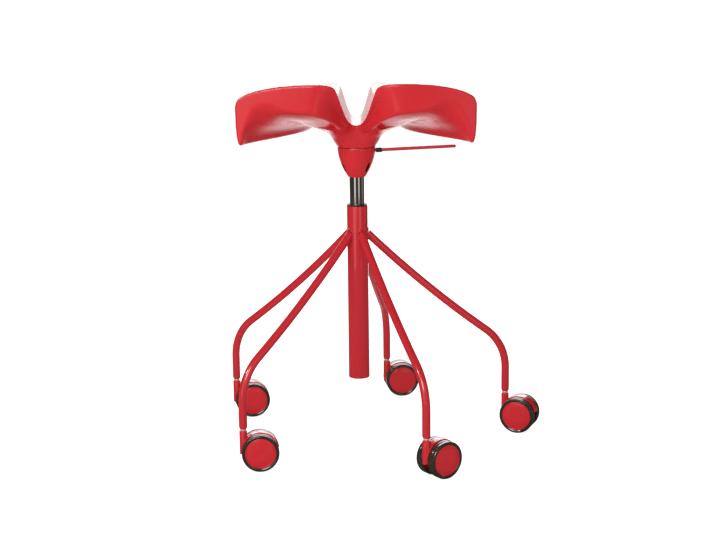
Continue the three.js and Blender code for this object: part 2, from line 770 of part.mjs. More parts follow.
stool.add(
  named("column_tube", columnTube(), paintedRed),
  named("column_foot_plate", footPlate(), plainSteel),
  named("guide_bush", guideBush(), blackPlastic),
  named("thrust_bearing", thrustBearing(), plainSteel),
  named("piston_rod", pistonRod(), plainSteel),
  named("rod_bumper", plainRing(
    rodRadius + fitGap, bumperRadius, rodShoulder + fitGap,
    rodShoulder + fitGap + bumperLength, coarseSides), blackPlastic),
  named("rod_clip", plainRing(
    rodSpigotRadius + fitGap, clipRadius, footPlateBottom - fitGap - clipThickness,
    footPlateBottom - fitGap, coarseSides), plainSteel),
  named("gas_cylinder", gasCylinder(), chromePlate),
  named("rod_gland", rodGland(), blackPlastic),
  named("release_pin", plainRod(
    releasePinRadius, cylinderTop - releasePinDepth, cylinderTop + releasePinStandOut,
    coarseSides), plainSteel),
  named("seat_mechanism", seatMechanism(), plainSteel),
  ...boltCircle.map(([x, y], k) =>
    named(`plate_screw_${k + 1}`, plateScrew().translate(x, y, 0), brightZinc)),
  named("height_lever", leverRod(), paintedRed),
  named("lever_sleeve", leverSleeve(), blackPlastic),
  named("lever_pivot_pin", pivotRod(pivotRadius, earInner + earThickness), plainSteel),
  named("bell_cover", bellCover(), mouldedRed),
  named("saddle", saddleBody(), mouldedRed),
);

castorHeadings.slice(0, castorCount).forEach((heading, k) => {
  const number = k + 1;
  const angle = radians(firstLegAngle) - (k * 2 * Math.PI) / castorCount;
  const spoke = new THREE.Group();
  spoke.rotation.z = angle;
  spoke.add(named(`leg_${number}`, legTube(), paintedRed));
  const x = castorCircleRadius * Math.cos(angle);
  const y = castorCircleRadius * Math.sin(angle);
  const stem = named(`castor_${number}_stem`, castorStem(), brightZinc);
  stem.position.set(x, y, 0);
  const wheels = castor(number, heading);
  wheels.position.set(x, y, 0);
  stool.add(spoke, stem, wheels);
});

// The origin is on the floor under the middle of the stool's bounding box
const footprint = new THREE.Box3().setFromObject(stool, true);
const middle = footprint.getCenter(new THREE.Vector3());
stool.position.set(-middle.x, -middle.y, -footprint.min.z);

export default stool;
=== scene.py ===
"""The looks of a red saddle stool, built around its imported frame. Metres, +Z up, the sitter faces +Y."""
import math

import bmesh
import bpy
from bpy.props import FloatProperty, FloatVectorProperty, IntProperty, PointerProperty
from mathutils import Matrix, Vector


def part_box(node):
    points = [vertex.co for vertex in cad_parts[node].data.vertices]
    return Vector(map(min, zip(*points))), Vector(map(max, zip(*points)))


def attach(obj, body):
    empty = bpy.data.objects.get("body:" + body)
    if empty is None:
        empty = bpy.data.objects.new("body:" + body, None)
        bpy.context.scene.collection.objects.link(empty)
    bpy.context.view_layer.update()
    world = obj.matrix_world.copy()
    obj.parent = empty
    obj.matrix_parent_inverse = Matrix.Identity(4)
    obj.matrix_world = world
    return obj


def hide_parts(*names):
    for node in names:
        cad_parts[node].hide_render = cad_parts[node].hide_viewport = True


bl_info = {
    "name": "Saddle Stool",
    "version": (1, 0, 0),
    "blender": (4, 5, 0),
    "location": "View3D > Sidebar > Stool",
    "description": "Builds the moulded saddle, column, legs and castors of a saddle stool",
    "category": "Add Mesh",
}

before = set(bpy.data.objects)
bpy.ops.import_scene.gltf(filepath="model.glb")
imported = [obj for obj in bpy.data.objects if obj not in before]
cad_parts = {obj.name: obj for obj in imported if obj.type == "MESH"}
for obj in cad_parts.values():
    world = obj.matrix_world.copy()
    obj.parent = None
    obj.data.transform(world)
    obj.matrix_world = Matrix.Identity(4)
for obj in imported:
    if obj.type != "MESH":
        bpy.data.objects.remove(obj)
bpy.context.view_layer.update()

MM = 0.001
FULL_TURN = 2 * math.pi
LEG_COUNT = 5
SCREW_COUNT = 4
# Gap between pieces that turn or slide on one another
FIT = 0.3 * MM


def middle(node):
    """The middle of a CAD node's box."""
    low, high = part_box(node)
    return (low + high) / 2


COLUMN_AXIS = middle("column_tube")
AXIS_FOOT = Vector((COLUMN_AXIS.x, COLUMN_AXIS.y, 0))
COLUMN_LOW, COLUMN_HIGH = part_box("column_tube")
COLUMN_RADIUS = (COLUMN_HIGH.x - COLUMN_LOW.x) / 2
SADDLE_LOW, SADDLE_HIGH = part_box("saddle")
SADDLE_LENGTH = SADDLE_HIGH.y - SADDLE_LOW.y
HUB_FACE = SADDLE_LOW.z
BELL_LOW, BELL_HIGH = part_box("bell_cover")


# Sizes and colours

def as_length(name, description, millimetres):
    return FloatProperty(name=name, description=description, default=millimetres * MM, unit="LENGTH")


def as_angle(name, description, degrees):
    return FloatProperty(name=name, description=description, default=math.radians(degrees), unit="ROTATION")


def as_colour(name, description, default):
    return FloatVectorProperty(
        name=name, description=description, default=default, subtype="COLOR", size=3, min=0, max=1)


class SaddleSizes(bpy.types.PropertyGroup):
    """Driving sizes of the moulded saddle"""

    rear_half_width: as_length(
        "Rear Half Width", "From the middle to a lobe's outer side, at the rear", 214.5)
    front_half_width: as_length(
        "Front Half Width", "From the middle to a lobe's outer side, at the front", 98)
    rear_crown: as_length("Rear Crown", "Height of the lobes' top at the rear edge", 687.6)
    middle_crown: as_length("Middle Crown", "Height of the lobes' top in the dip", 661)
    front_crown: as_length("Front Crown", "Height of the lobes' top at the front edge", 668.4)
    rear_channel: as_length("Rear Channel", "Half the width of the relief channel at the rear", 41)
    front_channel: as_length("Front Channel", "Half the width of the relief channel at the front", 34)
    rear_floor: as_length("Rear Channel Floor", "Height of the channel's floor at the rear", 605)
    front_floor: as_length("Front Channel Floor", "Height of the channel's floor at the front", 600)
    rear_flap: as_length("Rear Flap Edge", "Height of the flap's lower edge at the rear", 579)
    front_flap: as_length("Front Flap Edge", "Height of the flap's lower edge at the front", 580)
    edge_round: as_length("Edge Rounding", "Rounding of the saddle's rear and front edges", 2.6)
    flap_wall: as_length("Flap Wall", "Thickness of the flap at its lower edge", 8)
    flap_tuck: as_length("Flap Tuck", "How far the flap's lower edge is drawn in", 6.5)
    rim_turn: as_length("Rim Turn", "How far the rear face turns in beside the channel", 12)
    notch_depth: as_length("Notch Depth", "How far the rear face is set forward at the neck", 88)
    notch_reach: as_length("Notch Reach", "Half the width of the notch at the neck", 92)
    notch_height: as_length("Notch Height", "Height over which the notch fades upwards", 90)
    neck_lift: as_length("Neck Lift", "How much higher the underside is behind the hub", 12)
    neck_spread: as_length(
        "Neck Spread", "Half the width over which the neck runs straight up to the notch", 38)
    rear_bow: as_length("Rear Bow", "How far the ends of the rear face stand forward of its middle", 16)
    voxel: as_length("Skin Fineness", "Cell size of the moulded skin", 2)
    smoothing: IntProperty(
        name="Skin Smoothing", description="How often the moulded skin is relaxed", default=6)


class ColumnSizes(bpy.types.PropertyGroup):
    """Driving sizes of the column, gas spring, bell and lever"""

    wall: as_length("Column Wall", "Wall of the column tube", 2)
    cylinder_radius: as_length("Cylinder Radius", "Outer radius of the gas spring's cylinder", 14)
    bell_top_radius: as_length("Bell Top Radius", "Outer radius of the bell under the saddle", 35.5)
    bell_wall: as_length("Bell Wall", "Wall of the bell cover", 2)
    lever_radius: as_length("Lever Radius", "Radius of the height lever's rod", 3)
    lever_slope: as_angle("Lever Slope", "How much the lever rises outwards", 2.27)


class LegSizes(bpy.types.PropertyGroup):
    """Driving sizes of the bent tube legs"""

    radius: as_length("Tube Radius", "Outer radius of a leg tube", 7.5)
    knee_radius: as_length("Knee Radius", "Radius of the bend", 95)
    knee_turn: as_angle("Knee Turn", "Angle of the bend", 53.5)
    knee_base: as_length("Knee Base", "Height at which the bend starts", 124)
    sweep_radius: as_length("Sweep Radius", "Radius of the long upper sweep", 2000)
    weld: as_length("Weld Bead", "Radius of the weld bead", 1.7)


class CastorSizes(bpy.types.PropertyGroup):
    """Driving sizes of the twin-wheel castors"""

    wheel_radius: as_length("Wheel Radius", "Radius over the tyre", 34)
    wheel_width: as_length("Wheel Width", "Width of one wheel", 16.2)
    disc_radius: as_length("Disc Radius", "Radius of the coloured disc", 28)
    housing_width: as_length("Housing Width", "Width of the housing between the wheels", 15)
    neck_radius: as_length("Neck Radius", "Radius of the housing's neck", 7.2)
    hood_proud: as_length("Hood Stand-out", "How far the hood stands out past the tyres", 1.3)


class FinishColours(bpy.types.PropertyGroup):
    """Colours of the stool's finishes"""

    moulded: as_colour(
        "Moulded Red", "Colour of the saddle, bell, housings and discs", (0.74, 0.024, 0.033))
    painted: as_colour(
        "Painted Red", "Colour of the powder coat on the column, legs and lever", (0.68, 0.023, 0.034))
    black: as_colour("Black Plastic", "Colour of the bush and the lever's sleeve", (0.02, 0.02, 0.021))
    tyre: as_colour("Tyre", "Colour of the soft treads", (0.034, 0.035, 0.024))
    chrome: as_colour("Chrome", "Colour of the gas cylinder's plating", (0.8, 0.75, 0.68))
    zinc: as_colour("Bright Zinc", "Colour of stems, collars and screws", (0.8, 0.77, 0.7))
    steel: as_colour("Plain Steel", "Colour of the machined inner parts", (0.52, 0.53, 0.54))


# Modelling steps

def deselect():
    if bpy.context.object and bpy.context.object.mode != "OBJECT":
        bpy.ops.object.mode_set(mode="OBJECT")
    bpy.ops.object.select_all(action="DESELECT")


def choose(*objects):
    deselect()
    for thing in objects:
        thing.select_set(True)
    bpy.context.view_layer.objects.active = objects[0]


def start_piece(name, kind, **settings):
    """Adds a primitive with nothing else selected, to be shaped into a piece."""
    deselect()
    getattr(bpy.ops.mesh, f"primitive_{kind}_add")(**settings)
    piece = bpy.context.object
    piece.name = piece.data.name = name
    return piece


def start_editing(kind, action="SELECT"):
    """Enters edit mode for one kind of element, with all of the piece selected or none of it."""
    bpy.ops.object.mode_set(mode="EDIT")
    bpy.ops.mesh.select_mode(type=kind)
    bpy.ops.mesh.select_all(action=action)


def end_editing():
    """Turns every face of the edited piece outwards and leaves edit mode."""
    bpy.ops.mesh.select_all(action="SELECT")
    bpy.ops.mesh.normals_make_consistent(inside=False)
    bpy.ops.object.mode_set(mode="OBJECT")


def turned_piece(name, profile, sides, closed=False):
    """A circle extruded ring by ring along (radius, height) points about the Z axis."""
    radius, height = profile[0]
    piece = start_piece(name, "circle", vertices=sides, radius=radius, location=(0, 0, height))
    bpy.ops.object.transform_apply(location=True, rotation=True, scale=True)
    start_editing("EDGE")
    if not closed:
        bpy.ops.mesh.edge_face_add()
        bpy.ops.mesh.select_all(action="SELECT")
    for next_radius, next_height in profile[1:]:
        bpy.ops.mesh.extrude_region_move(
            TRANSFORM_OT_translate={"value": (0, 0, next_height - height)})
        share = next_radius / radius
        bpy.ops.transform.resize(value=(share, share, 1), center_override=(0, 0, 0))
        radius, height = next_radius, next_height
    if closed:
        bpy.ops.mesh.select_all(action="DESELECT")
        bpy.ops.mesh.select_non_manifold()
        bpy.ops.mesh.bridge_edge_loops()
    end_editing()
    return piece


def rounded_block(name, size, radius, along):
    """A block whose edges along one axis are rounded, centred on the origin."""
    block = start_piece(name, "cube", size=1)
    block.scale = size
    bpy.ops.object.transform_apply(location=True, rotation=True, scale=True)
    axis = "XYZ".index(along)
    start_editing("EDGE", "DESELECT")
    shape = bmesh.from_edit_mesh(block.data)
    for edge in shape.edges:
        direction = edge.verts[1].co - edge.verts[0].co
        edge.select_set(abs(direction[axis]) > 0.9 * direction.length)
    bmesh.update_edit_mesh(block.data)
    bpy.ops.mesh.bevel(offset=radius, segments=6)
    bpy.ops.object.mode_set(mode="OBJECT")
    return block


def apply_modifier(piece, kind, **settings):
    choose(piece)
    bpy.ops.object.modifier_add(type=kind)
    modifier = piece.modifiers[-1]
    for key, value in settings.items():
        setattr(modifier, key, value)
    bpy.ops.object.modifier_apply(modifier=modifier.name)


def round_edges(piece, width, segments=3):
    apply_modifier(piece, "BEVEL", width=width, segments=segments, limit_method="ANGLE",
                   angle_limit=math.radians(32), harden_normals=False)


def combine(piece, other, operation):
    """Cuts another shape away from the piece or joins it on, and removes the other shape."""
    apply_modifier(piece, "BOOLEAN", operation=operation, object=other, solver="EXACT")
    bpy.data.objects.remove(other)


def put(piece, place=(0, 0, 0), turn=(0, 0, 0)):
    """Moves a piece and applies its place to its mesh."""
    choose(piece)
    piece.location = place
    piece.rotation_euler = turn
    bpy.ops.object.transform_apply(location=True, rotation=True, scale=True)
    return piece


def copy_of(piece, name):
    choose(piece)
    bpy.ops.object.duplicate(linked=False)
    twin = bpy.context.object
    twin.name = twin.data.name = name
    return twin


def coat(piece, look):
    """Gives a piece one finish in place of all that it has."""
    piece.data.materials.clear()
    piece.data.materials.append(bpy.data.materials[look])


def dress(piece, body, slot, look, *nodes, sharp=math.radians(40)):
    """Shades and coats a finished piece and hangs it on its body in place of its CAD nodes."""
    choose(piece)
    bpy.ops.object.shade_smooth_by_angle(angle=sharp)
    coat(piece, look)
    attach(piece, body)
    if nodes:
        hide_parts(*nodes)


def smooth_line(points, counts):
    """Samples a smooth curve through 2-D points, with a given number of steps for each span."""
    first = 2 * points[0] - points[1]
    last = 2 * points[-1] - points[-2]
    padded = [first, *points, last]
    line = []
    for k, count in enumerate(counts):
        a, b, c, d = padded[k:k + 4]
        knots = [0.0]
        for p, q in ((a, b), (b, c), (c, d)):
            knots.append(knots[-1] + max((q - p).length, 1e-6) ** 0.5)
        t0, t1, t2, t3 = knots
        for i in range(count):
            t = t1 + (t2 - t1) * i / count
            a1 = a * ((t1 - t) / (t1 - t0)) + b * ((t - t0) / (t1 - t0))
            a2 = b * ((t2 - t) / (t2 - t1)) + c * ((t - t1) / (t2 - t1))
            a3 = c * ((t3 - t) / (t3 - t2)) + d * ((t - t2) / (t3 - t2))
            b1 = a1 * ((t2 - t) / (t2 - t0)) + a2 * ((t - t0) / (t2 - t0))
            b2 = a2 * ((t3 - t) / (t3 - t1)) + a3 * ((t - t1) / (t3 - t1))
            line.append(b1 * ((t2 - t) / (t2 - t1)) + b2 * ((t - t1) / (t2 - t1)))
    line.append(points[-1].copy())
    return line


def mix(a, b, share):
    return a + (b - a) * share


def ramp(value, start, end):
    """Rises smoothly from 0 at the start to 1 at the end."""
    share = min(max((value - start) / (end - start), 0.0), 1.0)
    return share * share * (3 - 2 * share)


def soft_min(a, b, reach):
    """The lower of two heights, blended where they are closer than the reach."""
    share = max(reach - abs(a - b), 0.0) / reach
    return min(a, b) - share * share * reach / 4


# Finishes

def feed(tree, node, links):
    """Feeds a node; links are (input name or number, source socket or value)."""
    for key, value in links:
        if isinstance(value, bpy.types.NodeSocket):
            tree.links.new(value, node.inputs[key])
        else:
            node.inputs[key].default_value = value


def add_node(tree, kind, links=(), **settings):
    node = tree.nodes.new(kind)
    for key, value in settings.items():
        setattr(node, key, value)
    feed(tree, node, links)
    return node


def worked_out(tree, operation, *values):
    """The result of a Math node on sockets or numbers."""
    return add_node(tree, "ShaderNodeMath", enumerate(values), operation=operation).outputs[0]


def share_between(tree, value, low, high, **settings):
    """How far a socket's value has come from one limit to the other, from 0 to 1."""
    return add_node(tree, "ShaderNodeMapRange", [
        ("Value", value), ("From Min", low), ("From Max", high)], **settings).outputs["Result"]


def noise(tree, **values):
    """The grey value of a noise texture; values are named after its inputs."""
    links = [(name.title(), value) for name, value in values.items()]
    return add_node(tree, "ShaderNodeTexNoise", links).outputs["Fac"]


def node_group(name, inputs, outputs):
    """A new group with its inputs' sockets and its output node."""
    group = bpy.data.node_groups.new(name, "ShaderNodeTree")
    for label, kind, value in inputs:
        socket = group.interface.new_socket(name=label, in_out="INPUT", socket_type=kind)
        if value is not None:
            socket.default_value = value
    for label, kind in outputs:
        group.interface.new_socket(name=label, in_out="OUTPUT", socket_type=kind)
    return group, group.nodes.new("NodeGroupInput").outputs, group.nodes.new("NodeGroupOutput")


def make_skin_variation():
    """Slow and fine changes over a surface: a colour, a roughness and a height."""
    group, given, out = node_group("Skin Variation", [
        ("Vector", "NodeSocketVector", None), ("Color", "NodeSocketColor", None),
        ("Deep Color", "NodeSocketColor", None), ("Roughness", "NodeSocketFloat", 0.4),
        ("Roughness Range", "NodeSocketFloat", 0.08), ("Grain Scale", "NodeSocketFloat", 900.0),
        ("Cloud Scale", "NodeSocketFloat", 9.0),
    ], [("Color", "NodeSocketColor"), ("Roughness", "NodeSocketFloat"), ("Height", "NodeSocketFloat")])
    clouds = noise(group, vector=given["Vector"], scale=given["Cloud Scale"], detail=4.0, roughness=0.55)
    grain = noise(group, vector=given["Vector"], scale=given["Grain Scale"], detail=2.0, roughness=0.5)
    # The colour sockets of a Mix node share their names with its other kinds, so they go by number
    colour = add_node(group, "ShaderNodeMix", [
        ("Factor", share_between(group, clouds, 0.3, 0.7)),
        (6, given["Deep Color"]), (7, given["Color"])], data_type="RGBA").outputs[2]
    both = worked_out(group, "MULTIPLY_ADD", clouds, grain, -0.25)
    swing = worked_out(group, "MULTIPLY_ADD", both, given["Roughness Range"], given["Roughness"])
    feed(group, out, [("Color", colour), ("Roughness", swing), ("Height", grain)])


def make_scuffs():
    """Fine scratches and rubbed spots, as a mask from 0 to 1."""
    group, given, out = node_group("Scuffs", [
        ("Vector", "NodeSocketVector", None), ("Scale", "NodeSocketFloat", 70.0),
        ("Amount", "NodeSocketFloat", 0.3),
    ], [("Mask", "NodeSocketFloat")])
    patches = noise(group, vector=given["Vector"], scale=given["Scale"],
                    detail=6.0, roughness=0.7, distortion=0.6)
    edge = share_between(group, patches, 0.58, 0.74)
    feed(group, out, [("Mask", worked_out(group, "MULTIPLY", edge, given["Amount"]))])


def make_finish(name, colour, deep, roughness, swing, grain, relief, scuff, shader):
    """A Principled surface whose colour, roughness and normal vary; shader holds plain socket values."""
    material = bpy.data.materials.new(name)
    material.use_nodes = True
    tree = material.node_tree
    place = add_node(tree, "ShaderNodeTexCoord").outputs["Object"]
    skin = add_node(tree, "ShaderNodeGroup", node_tree=bpy.data.node_groups["Skin Variation"])
    feed(tree, skin, [
        ("Vector", place), ("Color", (*colour, 1)), ("Deep Color", (*[c * deep for c in colour], 1)),
        ("Roughness", roughness), ("Roughness Range", swing), ("Grain Scale", grain)])
    scuffs = add_node(tree, "ShaderNodeGroup", node_tree=bpy.data.node_groups["Scuffs"])
    feed(tree, scuffs, [("Vector", place), ("Amount", scuff)])
    scuff_roughness = 0.35
    rougher = worked_out(
        tree, "MULTIPLY_ADD", scuffs.outputs["Mask"], scuff_roughness, skin.outputs["Roughness"])
    bump = add_node(tree, "ShaderNodeBump", [
        ("Height", skin.outputs["Height"]), ("Strength", relief), ("Distance", 0.4 * MM)])
    feed(tree, tree.nodes["Principled BSDF"], [
        ("Base Color", skin.outputs["Color"]), ("Roughness", rougher),
        ("Normal", bump.outputs["Normal"]), *shader.items()])


def lacquer(roughness):
    return {"Coat Weight": 1.0, "Coat Roughness": roughness}


def make_finishes(colours):
    """Makes each finish: its name, its colour, the share of it left in its deep spots, its roughness
    and how far that swings, the scale and relief of its grain, its scuffs and its plain sockets."""
    make_skin_variation()
    make_scuffs()
    for finish in [
        ("moulded red skin", colours.moulded, 0.93, 0.25, 0.1, 1100.0, 0.012, 0.12, {}),
        ("painted red steel", colours.painted, 0.94, 0.24, 0.1, 420.0, 0.05, 0.12, lacquer(0.04)),
        ("satin red steel", colours.painted, 0.94, 0.42, 0.1, 420.0, 0.05, 0.12, {}),
        ("glossy red moulding", colours.moulded, 0.93, 0.16, 0.08, 1100.0, 0.012, 0.12, lacquer(0.12)),
        ("black plastic", colours.black, 0.8, 0.45, 0.15, 1400.0, 0.15, 0.12, {}),
        ("tyre", colours.tyre, 0.75, 0.2, 0.12, 700.0, 0.05, 0.35, lacquer(0.12)),
        ("chrome plate", colours.chrome, 0.94, 0.1, 0.05, 1500.0, 0.01, 0.05, {"Metallic": 1.0}),
        ("bright zinc", colours.zinc, 0.9, 0.28, 0.15, 1600.0, 0.06, 0.12, {"Metallic": 0.5}),
        ("plain steel", colours.steel, 0.85, 0.36, 0.2, 900.0, 0.08, 0.3, {"Metallic": 1.0}),
    ]:
        make_finish(*finish)


# Saddle

# Outline shares of one half section, from the channel's floor over the lobe to the underside
CHANNEL_SHARES = [(0, 0), (0.22, 0.04), (0.42, 0.2), (0.6, 0.48), (0.8, 0.8), (0.92, 0.94), (1.12, 0.99)]
TOP_SHARES = [(0.235, 0), (0.42, 0.03), (0.6, 0.11), (0.79, 0.29), (0.91, 0.5), (0.975, 0.71), (1, 1)]
SIDE_SHARES = [(0, 0.3), (0.08, 0.6), (0.4, 0.86), (0.85, 0.985)]
TIP_SHARES = [(0.35, 0.0), (0.75, 0.02)]
ARCH_SHARES = [(0, 0.1), (0.08, 0.31), (0.26, 0.55), (0.58, 0.78), (1, 1)]
SPINE_SHARES = [(0.7, 0.06), (0.45, 0.16), (0.31, 0.28), (0.2, 0.6), (0.1, 0.92), (0, 1)]
FLARE_SHARES = [
    (0, 0), (0.11, 0.16), (0.28, 0.36), (0.54, 0.68), (0.74, 0.85), (1, 1), (1.5, 1.16), (2, 1.27)]

# Rear and front values of the side's upper edge below the crown, of the underside's height at the
# middle, and of the arch's distance from the flap
SHOULDER_DROP = (36.6 * MM, 43 * MM)
SPINE_HEIGHT = (598 * MM, 587 * MM)
ARCH_SETBACK = (54 * MM, 22 * MM)

# Radii of the hub and its flare, and heights above the hub's face
HUB_RADIUS = 35.7 * MM
FLARE_START = 60.3 * MM
FLARE_END = 150 * MM
FLARE_HEIGHT = 31.6 * MM
UNDERSIDE_HEIGHT = 30.6 * MM

# Fineness of the wrapped grid
GRID_STEP = 2.5 * MM
SECTION_STEPS = 2000
BODY_RINGS = 96
ROUND_STEPS = 8
CAP_RINGS = 10


def flare_height(distance):
    """Underside of the trumpet-like flare at a distance from the hub's axis."""
    near_rise, far_rise = 10 * MM, 28 * MM
    share = max(0.0, distance - FLARE_START) / (FLARE_END - FLARE_START)
    return HUB_FACE + UNDERSIDE_HEIGHT + near_rise * share ** 0.5 + far_rise * share ** 1.6


def saddle_controls(sizes, along):
    """Control points of one half section at a share of the saddle's length."""
    arch_height, arch_rear_rise = 607 * MM, 32.5 * MM
    lift_start, lift_end, blend = 25 * MM, 140 * MM, 9 * MM
    y = (along - 0.5) * SADDLE_LENGTH
    half = mix(sizes.rear_half_width, sizes.front_half_width, ramp(along ** 0.85, 0, 1))
    sag = (sizes.rear_crown + sizes.front_crown) / 2 - sizes.middle_crown
    crown = mix(sizes.rear_crown, sizes.front_crown, along) - sag * (1 - (2 * along - 1) ** 2)
    channel = mix(sizes.rear_channel, sizes.front_channel, along)
    floor = mix(sizes.rear_floor, sizes.front_floor, along)
    edge = crown - mix(*SHOULDER_DROP, along)
    flap = mix(sizes.rear_flap, sizes.front_flap, along)
    arch = arch_height + arch_rear_rise * (1 - along) ** 5
    spine = mix(*SPINE_HEIGHT, along)
    inside = half - sizes.flap_tuck - sizes.flap_wall
    arch_x = inside - mix(*ARCH_SETBACK, along)
    points = [(channel * x, mix(floor, crown, z)) for x, z in CHANNEL_SHARES]
    points += [(mix(channel, half, x), mix(crown, edge, z)) for x, z in TOP_SHARES]
    points += [(half - sizes.flap_tuck * x, mix(edge, flap, z)) for x, z in SIDE_SHARES]
    points += [(half - sizes.flap_tuck - sizes.flap_wall * x, flap + sizes.flap_wall * z)
               for x, z in TIP_SHARES]
    under = [(mix(inside, arch_x, x), mix(flap, arch, z)) for x, z in ARCH_SHARES]
    under += [(arch_x * x, mix(arch, spine, z)) for x, z in SPINE_SHARES]
    lift = sizes.neck_lift * ramp(-y, lift_start, lift_end)
    points.append(under[0])
    points += [(x, soft_min(z, flare_height(math.hypot(x, y)) + lift, blend)) for x, z in under[1:]]
    return [Vector(p) for p in points]


def rear_notch(sizes, x, z):
    """How far the rear face stands forward of its plane, at the channel's rim and at the neck."""
    rim_start, rim_end, notch_foot = 36 * MM, 90 * MM, 38 * MM
    side = abs(x)
    rim = min(max((rim_end - side) / (rim_end - rim_start), 0.0), 1.0) ** 2.4
    across = max(1 - (side / sizes.notch_reach) ** 2, 0.0) ** 3.4
    down = 1 - ramp(z - HUB_FACE - notch_foot, 0, sizes.notch_height)
    return sizes.rim_turn * rim + sizes.notch_depth * across * down


def bowed(sizes, place):
    """A point of the saddle after its rear is bent, so that the lobes' ends stand forward of the middle."""
    fade = max(0.5 - place.y / SADDLE_LENGTH, 0.0) ** 2
    place.y += sizes.rear_bow * fade * (place.x / sizes.rear_half_width) ** 2
    return place


def end_rounding(sizes, under, x):
    """Depth and inset of the rear edge's rounding, wide where the flap turns in and at the neck."""
    if not under:
        return sizes.edge_round, sizes.edge_round
    outer_depth, inner_depth = 60 * MM, 12 * MM
    outer_inset, inner_inset, least_inset = 26 * MM, 3 * MM, 0.8 * MM
    kept_wall, wall_share = 5 * MM, 0.7
    outer = ramp(x, 122 * MM, 168 * MM)
    inner = 1 - ramp(x, 18 * MM, 46 * MM)
    wall = max(sizes.rear_half_width - sizes.flap_tuck - x, 0.0)
    room = wall_share * max(wall - kept_wall, 0.0) + least_inset
    depth = sizes.edge_round + outer_depth * outer + inner_depth * inner
    return depth, mix(sizes.edge_round, min(outer_inset, room), outer) + inner_inset * inner


def saddle_grid(sizes):
    """Closed lines of points from the middle of the rear face, along the saddle, to that of the front."""
    length, small = SADDLE_LENGTH, sizes.edge_round
    rear = saddle_controls(sizes, 0.0)
    counts = [max(1, round((b - a).length / GRID_STEP)) for a, b in zip(rear, rear[1:])]
    count = sum(counts) + 1
    tip = sum(counts[:len(CHANNEL_SHARES) + len(TOP_SHARES) + len(SIDE_SHARES)])
    sections = {}

    def section(depth):
        """The half outline at a depth from the rear end, kept for reuse."""
        key = round(min(max(depth / length, 0.0), 1.0) * SECTION_STEPS)
        if key not in sections:
            sections[key] = smooth_line(saddle_controls(sizes, key / SECTION_STEPS), counts)
        return sections[key]

    def ring(depths, insets):
        """One ring: each outline point at its own depth, moved inwards by its own inset."""
        points = [section(depth)[i] for i, depth in enumerate(depths)]
        moved = []
        for i, point in enumerate(points):
            along = points[min(i + 1, count - 1)] - points[max(i - 1, 0)]
            if i in (0, count - 1):
                along = Vector((1.0 if i == 0 else -1.0, 0.0))
            inward = Vector((along.y, -along.x)).normalized()
            spot = point + inward * insets[i]
            moved.append(Vector((max(spot.x, 0.0), depths[i] - length / 2, spot.y)))
        return moved

    def cap(edge, plane):
        """Rings that draw an end's outline in until its top and its underside meet half-way."""
        rings = []
        for step in range(CAP_RINGS, 0, -1):
            share = step / CAP_RINGS
            line = []
            for i, spot in enumerate(edge):
                if i <= tip:
                    other = tip + (tip - i) * (count - 1 - tip) / tip
                else:
                    other = tip - (i - tip) * tip / (count - 1 - tip)
                low = min(int(other), count - 2)
                mate = edge[low].lerp(edge[low + 1], other - low)
                drawn = spot.lerp(mate, share / 2)
                drawn.y = plane(drawn.x, drawn.z) + (1 - share) * (spot.y - plane(spot.x, spot.z))
                line.append(drawn)
            rings.append(line)
        return rings

    edges = [end_rounding(sizes, i > tip, p.x) for i, p in enumerate(section(0.0))]
    starts = [rear_notch(sizes, p.x, p.y) for p in section(0.0)]
    turns = [math.pi / 2 * k / ROUND_STEPS for k in range(ROUND_STEPS + 1)]
    body = []
    for turn in turns:
        depths = [start + depth * (1 - math.cos(turn)) for start, (depth, _) in zip(starts, edges)]
        body.append(ring(depths, [inset * (1 - math.sin(turn)) for _, inset in edges]))
    full = [start + depth for start, (depth, _) in zip(starts, edges)]
    for k in range(1, BODY_RINGS + 1):
        body.append(ring([mix(depth, length - small, k / BODY_RINGS) for depth in full], [0.0] * count))
    for turn in reversed(turns[:-1]):
        depth, inset = length - small * (1 - math.cos(turn)), small * (1 - math.sin(turn))
        body.append(ring([depth] * count, [inset] * count))
    rear_cap = cap(body[0], lambda x, z: rear_notch(sizes, x, z) - length / 2)
    front_cap = cap(body[-1], lambda x, z: length / 2)
    grid = []
    for line in [*rear_cap, *body, *reversed(front_cap)]:
        line = [bowed(sizes, place) for place in line]
        whole = line + [Vector((-p.x, p.y, p.z)) for p in reversed(line[1:-1])]
        grid.append(whole + [whole[0]])
    return grid


def build_neck(sizes):
    """The turned hub, whose rear side runs straight from the hub's rim up to the notch."""
    foot, lip, fade = 10 * MM, 44 * MM, 20 * MM
    profile = [Vector((mix(HUB_RADIUS, FLARE_START, x), HUB_FACE + FLARE_HEIGHT * z))
               for x, z in FLARE_SHARES]
    outline = [tuple(p) for p in smooth_line(profile, [4] * (len(profile) - 1))]
    neck = turned_piece("neck", [(foot, HUB_FACE), *outline], 128)
    for vertex in neck.data.vertices:
        spot = vertex.co
        radius = math.hypot(spot.x, spot.y)
        if spot.y < 0 and radius > HUB_RADIUS / 2:
            rise = max(spot.z - HUB_FACE, 0.0) / lip
            rim = math.sqrt(max(HUB_RADIUS ** 2 - spot.x ** 2, 0.0))
            notch = SADDLE_LENGTH / 2 - rear_notch(sizes, spot.x, HUB_FACE + lip)
            share = ramp(-spot.y / radius, 0, 0.75) * (1 - ramp(abs(spot.x) - sizes.neck_spread, 0, fade))
            spot.y = mix(spot.y, -mix(rim, notch, rise), share)
    return neck


